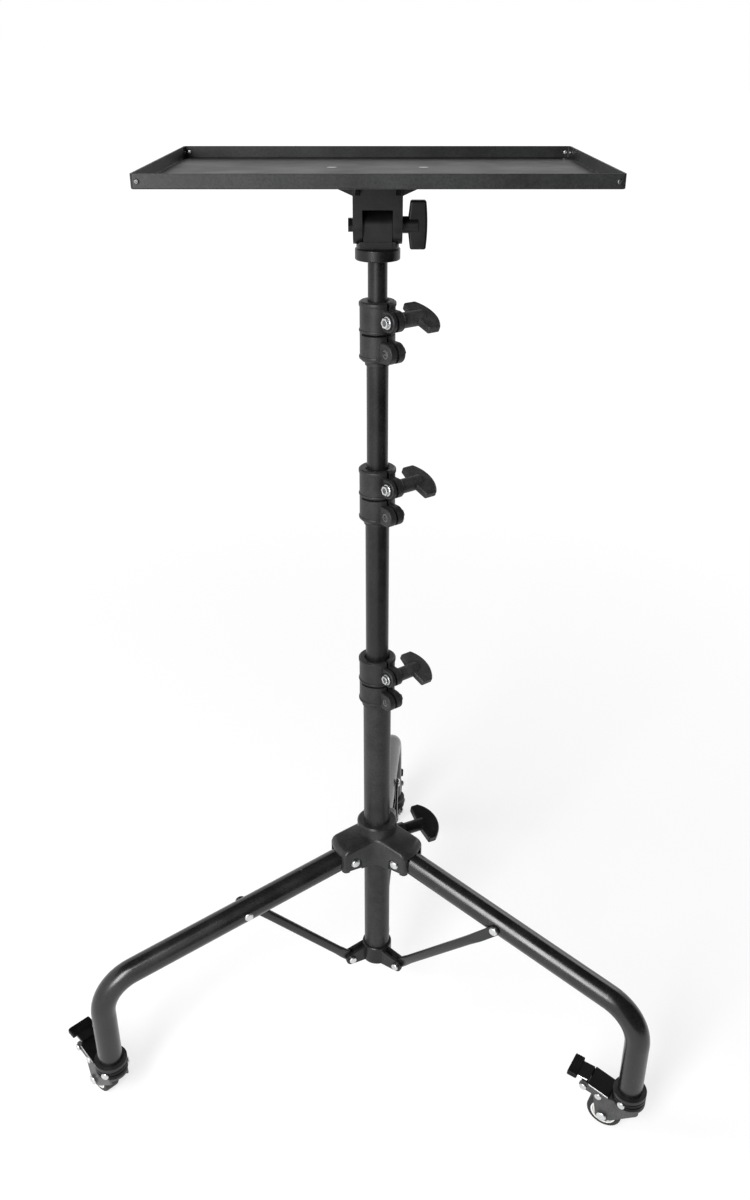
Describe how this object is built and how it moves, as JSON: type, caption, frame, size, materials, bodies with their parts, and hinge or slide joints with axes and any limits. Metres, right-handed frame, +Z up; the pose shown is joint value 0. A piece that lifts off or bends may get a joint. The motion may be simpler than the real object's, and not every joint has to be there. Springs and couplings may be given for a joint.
{
  "type": "portable projector stand",
  "caption": "Tripod stand with a rimmed tray on a tilting head, a telescoping column with wing-knob collars, and folding bent legs on braked casters.",
  "frame": {"origin": "on the floor, on the axis of the column", "axes": "+Z up along the column, -Y to the front long edge of the tray, +X along the tray to its right-hand end, where the tilt knob is"},
  "size_m": [0.6117, 0.5693, 0.931],
  "materials": {
    "black_powder_coat": "satin black powder coat with a fine texture",
    "black_nylon": "moulded black nylon, matte",
    "zinc_steel": "bright zinc plated steel",
    "grey_steel": "grey painted pressed steel",
    "grey_wheel": "pale grey moulded plastic",
    "black_tread": "black rubber tread"
  },
  "bodies": {
    "base_column": {"base_tube": "black_powder_coat", "brace_ring": "black_powder_coat", "brace_pins": "zinc_steel", "lower_collar": "black_nylon", "lower_collar_bolts": "zinc_steel"},
    "lower_collar_knob": {"lower_collar_knob": "black_nylon"},
    "second_section": {"second_tube": "black_powder_coat", "middle_collar": "black_nylon", "middle_collar_bolts": "zinc_steel"},
    "middle_collar_knob": {"middle_collar_knob": "black_nylon"},
    "third_section": {"third_tube": "black_powder_coat", "upper_collar": "black_nylon", "upper_collar_bolts": "zinc_steel"},
    "upper_collar_knob": {"upper_collar_knob": "black_nylon"},
    "top_section": {"top_tube": "black_powder_coat", "head_base": "black_nylon"},
    "tray": {"tray_pan": "black_powder_coat", "tray_bracket": "black_nylon", "tray_screws": "zinc_steel", "tilt_nut": "zinc_steel"},
    "tilt_knob": {"tilt_knob": "black_nylon"},
    "leg_hub": {"leg_hub": "black_nylon", "leg_pins": "zinc_steel"},
    "hub_knob": {"hub_knob": "black_nylon"},
    "rear_leg": {"rear_leg_tube": "black_powder_coat", "rear_leg_socket": "black_nylon"},
    "rear_brace": {"rear_brace": "black_powder_coat"},
    "rear_caster": {"rear_caster_fork": "grey_steel", "rear_caster_head": "black_nylon", "rear_caster_cover": "black_nylon"},
    "rear_wheel": {"rear_wheel_core": "grey_wheel", "rear_wheel_tyre": "black_tread"},
    "rear_brake": {"rear_brake_pedal": "black_nylon"},
    "left_leg": {"left_leg_tube": "black_powder_coat", "left_leg_socket": "black_nylon"},
    "left_brace": {"left_brace": "black_powder_coat"},
    "left_caster": {"left_caster_fork": "grey_steel", "left_caster_head": "black_nylon", "left_caster_cover": "black_nylon"},
    "left_wheel": {"left_wheel_core": "grey_wheel", "left_wheel_tyre": "black_tread"},
    "left_brake": {"left_brake_pedal": "black_nylon"},
    "right_leg": {"right_leg_tube": "black_powder_coat", "right_leg_socket": "black_nylon"},
    "right_brace": {"right_brace": "black_powder_coat"},
    "right_caster": {"right_caster_fork": "grey_steel", "right_caster_head": "black_nylon", "right_caster_cover": "black_nylon"},
    "right_wheel": {"right_wheel_core": "grey_wheel", "right_wheel_tyre": "black_tread"},
    "right_brake": {"right_brake_pedal": "black_nylon"}
  },
  "joints": [
    {"name": "second_tube_slide", "type": "slide", "parent": "base_column", "child": "second_section", "axis": [0, 0, 1], "range_m": [-0.1365, 0.1]},
    {"name": "third_tube_slide", "type": "slide", "parent": "second_section", "child": "third_section", "axis": [0, 0, 1], "range_m": [-0.0875, 0.13]},
    {"name": "top_tube_slide", "type": "slide", "parent": "third_section", "child": "top_section", "axis": [0, 0, 1], "range_m": [-0.0265, 0.165]},
    {"name": "tray_tilt", "type": "hinge", "parent": "top_section", "child": "tray", "pos_m": [0, 0, 0.88], "axis": [1, 0, 0], "range_deg": [-45, 45]},
    {"name": "tilt_knob_turn", "type": "hinge", "parent": "tray", "child": "tilt_knob", "pos_m": [0.0203, 0, 0.88], "axis": [1, 0, 0], "range_deg": [-180, 180]},
    {"name": "lower_collar_knob_turn", "type": "hinge", "parent": "base_column", "child": "lower_collar_knob", "pos_m": [0.01399, -0.01857, 0.456], "axis": [0.7986, 0.6018, 0], "range_deg": [-180, 180]},
    {"name": "middle_collar_knob_turn", "type": "hinge", "parent": "second_section", "child": "middle_collar_knob", "pos_m": [0.01324, -0.01757, 0.6545], "axis": [0.7986, 0.6018, 0], "range_deg": [-180, 180]},
    {"name": "upper_collar_knob_turn", "type": "hinge", "parent": "third_section", "child": "upper_collar_knob", "pos_m": [0.01264, -0.01677, 0.804], "axis": [0.7986, 0.6018, 0], "range_deg": [-180, 180]},
    {"name": "hub_slide", "type": "slide", "parent": "base_column", "child": "leg_hub", "axis": [0, 0, 1], "range_m": [0, 0.10402]},
    {"name": "hub_knob_turn", "type": "hinge", "parent": "leg_hub", "child": "hub_knob", "pos_m": [0.02968, 0.01441, 0.241], "axis": [0.8996, 0.4368, 0], "range_deg": [-180, 180]},
    {"name": "rear_leg_fold", "type": "hinge", "parent": "leg_hub", "child": "rear_leg", "pos_m": [0.00243, 0.03391, 0.2315], "axis": [-0.9974, 0.0715, 0], "range_deg": [0, 40]},
    {"name": "rear_brace_fold", "type": "hinge", "parent": "base_column", "child": "rear_brace", "pos_m": [0.00628, 0.03163, 0.077], "axis": [0.9974, -0.0715, 0], "range_deg": [0, 19.3]},
    {"name": "rear_caster_swivel", "type": "hinge", "parent": "rear_leg", "child": "rear_caster", "pos_m": [0.02238, 0.3122, 0.056], "axis": [0, 0, 1], "continuous": true},
    {"name": "rear_wheel_spin", "type": "hinge", "parent": "rear_caster", "child": "rear_wheel", "pos_m": [0.02391, 0.33415, 0.0185], "axis": [-0.9976, 0.0698, 0], "continuous": true},
    {"name": "rear_brake_press", "type": "hinge", "parent": "rear_caster", "child": "rear_brake", "pos_m": [0.02552, 0.35709, 0.049], "axis": [-0.9976, 0.0698, 0], "range_deg": [0, 12]},
    {"name": "left_leg_fold", "type": "hinge", "parent": "leg_hub", "child": "left_leg", "pos_m": [-0.03059, -0.01485, 0.2315], "axis": [0.4368, -0.8996, 0], "range_deg": [0, 40]},
    {"name": "left_brace_fold", "type": "hinge", "parent": "base_column", "child": "left_brace", "pos_m": [-0.03053, -0.01038, 0.077], "axis": [-0.4368, 0.8996, 0], "range_deg": [0, 19.3]},
    {"name": "left_caster_swivel", "type": "hinge", "parent": "left_leg", "child": "left_caster", "pos_m": [-0.28156, -0.13672, 0.056], "axis": [0, 0, 1], "continuous": true},
    {"name": "left_wheel_spin", "type": "hinge", "parent": "left_caster", "child": "left_wheel", "pos_m": [-0.29712, -0.12116, 0.0185], "axis": [-0.7071, -0.7071, 0], "continuous": true},
    {"name": "left_brake_press", "type": "hinge", "parent": "left_caster", "child": "left_brake", "pos_m": [-0.31338, -0.1049, 0.049], "axis": [-0.7071, -0.7071, 0], "range_deg": [0, 12]},
    {"name": "right_leg_fold", "type": "hinge", "parent": "leg_hub", "child": "right_leg", "pos_m": [0.02815, -0.01906, 0.2315], "axis": [0.5606, 0.8281, 0], "range_deg": [0, 40]},
    {"name": "right_brace_fold", "type": "hinge", "parent": "base_column", "child": "right_brace", "pos_m": [0.02425, -0.02125, 0.077], "axis": [-0.5606, -0.8281, 0], "range_deg": [0, 19.3]},
    {"name": "right_caster_swivel", "type": "hinge", "parent": "right_leg", "child": "right_caster", "pos_m": [0.25918, -0.17548, 0.056], "axis": [0, 0, 1], "continuous": true},
    {"name": "right_wheel_spin", "type": "hinge", "parent": "right_caster", "child": "right_wheel", "pos_m": [0.24033, -0.16415, 0.0185], "axis": [-0.515, -0.8572, 0], "continuous": true},
    {"name": "right_brake_press", "type": "hinge", "parent": "right_caster", "child": "right_brake", "pos_m": [0.22061, -0.1523, 0.049], "axis": [-0.515, -0.8572, 0], "range_deg": [0, 12]}
  ],
  "couplings": [
    {"joint": "rear_leg_fold", "follows": "hub_slide", "rad_per_m": 6.7112},
    {"joint": "rear_brace_fold", "follows": "hub_slide", "rad_per_m": 3.2383},
    {"joint": "left_leg_fold", "follows": "hub_slide", "rad_per_m": 6.7112},
    {"joint": "left_brace_fold", "follows": "hub_slide", "rad_per_m": 3.2383},
    {"joint": "right_leg_fold", "follows": "hub_slide", "rad_per_m": 6.7112},
    {"joint": "right_brace_fold", "follows": "hub_slide", "rad_per_m": 3.2383}
  ]
}
